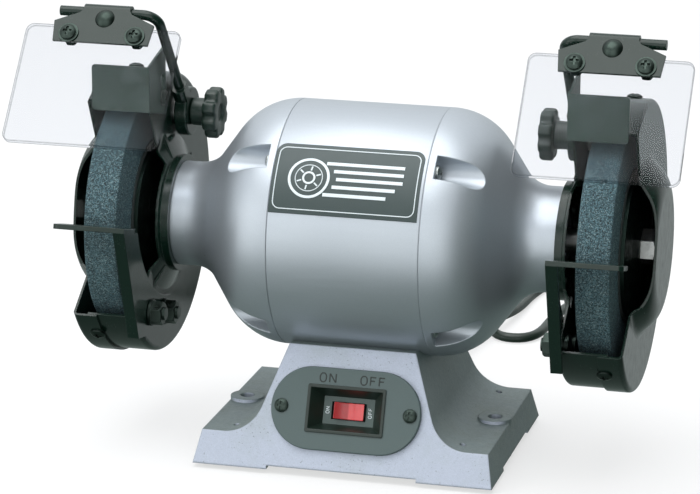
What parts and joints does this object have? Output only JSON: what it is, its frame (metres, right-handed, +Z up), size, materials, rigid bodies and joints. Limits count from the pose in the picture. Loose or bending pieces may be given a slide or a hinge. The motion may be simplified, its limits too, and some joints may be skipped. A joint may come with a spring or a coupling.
{
  "type": "bench grinder",
  "caption": "Double-ended bench grinder: round motor on a flared cast base, guarded wheels on both ends, tool rests, clear tilting eye shields, rocker switch and a loose mains cord.",
  "frame": {"origin": "on the bench surface, midway between the two bench bolts and straight below the middle of the spindle", "axes": "+X along the spindle to the user's right, -Y towards the user, +Z up"},
  "size_m": [0.4, 0.5227, 0.2738],
  "materials": {
    "silver_casting": "silver paint on a sand-cast base, slightly grainy",
    "silver_paint": "satin silver paint",
    "zinc_plate": "zinc-plated sheet",
    "zinc_screws": "bright zinc-plated",
    "foot_rubber": "matte rubber",
    "black_screws": "black oxide",
    "switch_label": "grey painted plate with printed marks",
    "black_plastic": "moulded, glossy",
    "red_rocker": "translucent red moulding",
    "white_plastic": "moulded",
    "capacitor_can": "drawn can",
    "brass_blades": "stamped blades",
    "cord_rubber": "smooth black sheath",
    "plate_print": "dark printed plate",
    "core_steel": "stacked laminations",
    "winding_copper": "varnished copper wire",
    "ground_steel": "ground steel",
    "flange_steel": "dark pressed steel",
    "black_paint": "gloss black enamel",
    "blotter_card": "pressed card",
    "wheel_grit": "vitrified grey-blue abrasive",
    "knob_plastic": "moulded",
    "clear_sheet": "clear impact-resistant sheet"
  },
  "bodies": {
    "frame": {"base_casting": "silver_casting", "base_plate": "zinc_plate", "rubber_feet": "foot_rubber", "foot_screws": "zinc_screws", "saddle_bolts": "zinc_screws", "switch_plate": "switch_label", "switch_plate_screws": "black_screws", "switch_bezel": "black_plastic", "switch_body": "black_plastic", "switch_blades": "brass_blades", "run_capacitor": "capacitor_can", "capacitor_clamp": "zinc_plate", "terminal_block": "white_plastic", "cord_gland": "cord_rubber", "power_cord": "cord_rubber", "cord_coil": "cord_rubber", "plug": "cord_rubber", "plug_pins": "brass_blades", "motor_shell": "silver_paint", "nameplate": "plate_print", "stator_core": "core_steel", "stator_windings": "winding_copper", "bearing_outer_rings": "ground_steel", "bearing_balls": "ground_steel", "bell_screws": "zinc_screws", "left_end_bell": "silver_paint", "right_end_bell": "silver_paint", "left_inner_guard": "black_paint", "right_inner_guard": "black_paint", "left_outer_cover": "black_paint", "right_outer_cover": "black_paint", "hub_screws": "black_screws", "cover_screws": "black_screws", "tool_rest_bolts": "black_screws", "arrestor_screws": "black_screws", "shield_pivots": "ground_steel"},
    "spindle": {"spindle": "ground_steel", "rotor_core": "core_steel", "bearing_inner_rings": "ground_steel", "inner_flanges": "flange_steel", "wheel_blotters": "blotter_card", "left_grinding_wheel": "wheel_grit", "right_grinding_wheel": "wheel_grit", "outer_flanges": "flange_steel", "arbor_nuts": "ground_steel"},
    "rocker": {"switch_rocker": "red_rocker"},
    "left_arm": {"left_shield_arm": "black_paint"},
    "left_shield": {"left_eye_shield": "clear_sheet", "left_shield_bracket": "black_paint", "left_shield_screws": "black_screws"},
    "left_knob": {"left_shield_knob": "knob_plastic"},
    "left_rest": {"left_tool_rest": "black_paint"},
    "left_arrestor": {"left_spark_arrestor": "black_paint"},
    "right_arm": {"right_shield_arm": "black_paint"},
    "right_shield": {"right_eye_shield": "clear_sheet", "right_shield_bracket": "black_paint", "right_shield_screws": "black_screws"},
    "right_knob": {"right_shield_knob": "knob_plastic"},
    "right_rest": {"right_tool_rest": "black_paint"},
    "right_arrestor": {"right_spark_arrestor": "black_paint"}
  },
  "joints": [
    {"name": "spindle_spin", "type": "hinge", "parent": "frame", "child": "spindle", "pos_m": [0, 0, 0.1386], "axis": [1, 0, 0], "continuous": true},
    {"name": "switch_rock", "type": "hinge", "parent": "frame", "child": "rocker", "pos_m": [0, -0.05156, 0.03653], "axis": [0, 0.3584, 0.9336], "range_deg": [-16, 0]},
    {"name": "left_arm_tilt", "type": "hinge", "parent": "frame", "child": "left_arm", "pos_m": [-0.122, 0.016, 0.199], "axis": [-1, 0, 0], "range_deg": [-10, 30]},
    {"name": "left_shield_tilt", "type": "hinge", "parent": "left_arm", "child": "left_shield", "pos_m": [-0.152, -0.042, 0.269], "axis": [-1, 0, 0], "range_deg": [-15, 60]},
    {"name": "left_knob_turn", "type": "hinge", "parent": "frame", "child": "left_knob", "pos_m": [-0.1042, 0.016, 0.199], "axis": [1, 0, 0], "range_deg": [0, 360]},
    {"name": "left_rest_slide", "type": "slide", "parent": "frame", "child": "left_rest", "axis": [0, -0.9703, 0.2419], "range_m": [-0.0015, 0.01]},
    {"name": "left_arrestor_slide", "type": "slide", "parent": "frame", "child": "left_arrestor", "axis": [0, 0, 1], "range_m": [-0.008, 0.002]},
    {"name": "right_arm_tilt", "type": "hinge", "parent": "frame", "child": "right_arm", "pos_m": [0.122, 0.016, 0.199], "axis": [-1, 0, 0], "range_deg": [-10, 30]},
    {"name": "right_shield_tilt", "type": "hinge", "parent": "right_arm", "child": "right_shield", "pos_m": [0.152, -0.042, 0.269], "axis": [-1, 0, 0], "range_deg": [-15, 60]},
    {"name": "right_knob_turn", "type": "hinge", "parent": "frame", "child": "right_knob", "pos_m": [0.1042, 0.016, 0.199], "axis": [1, 0, 0], "range_deg": [0, 360]},
    {"name": "right_rest_slide", "type": "slide", "parent": "frame", "child": "right_rest", "axis": [0, -0.9703, 0.2419], "range_m": [-0.0015, 0.01]},
    {"name": "right_arrestor_slide", "type": "slide", "parent": "frame", "child": "right_arrestor", "axis": [0, 0, 1], "range_m": [-0.008, 0.002]}
  ]
}
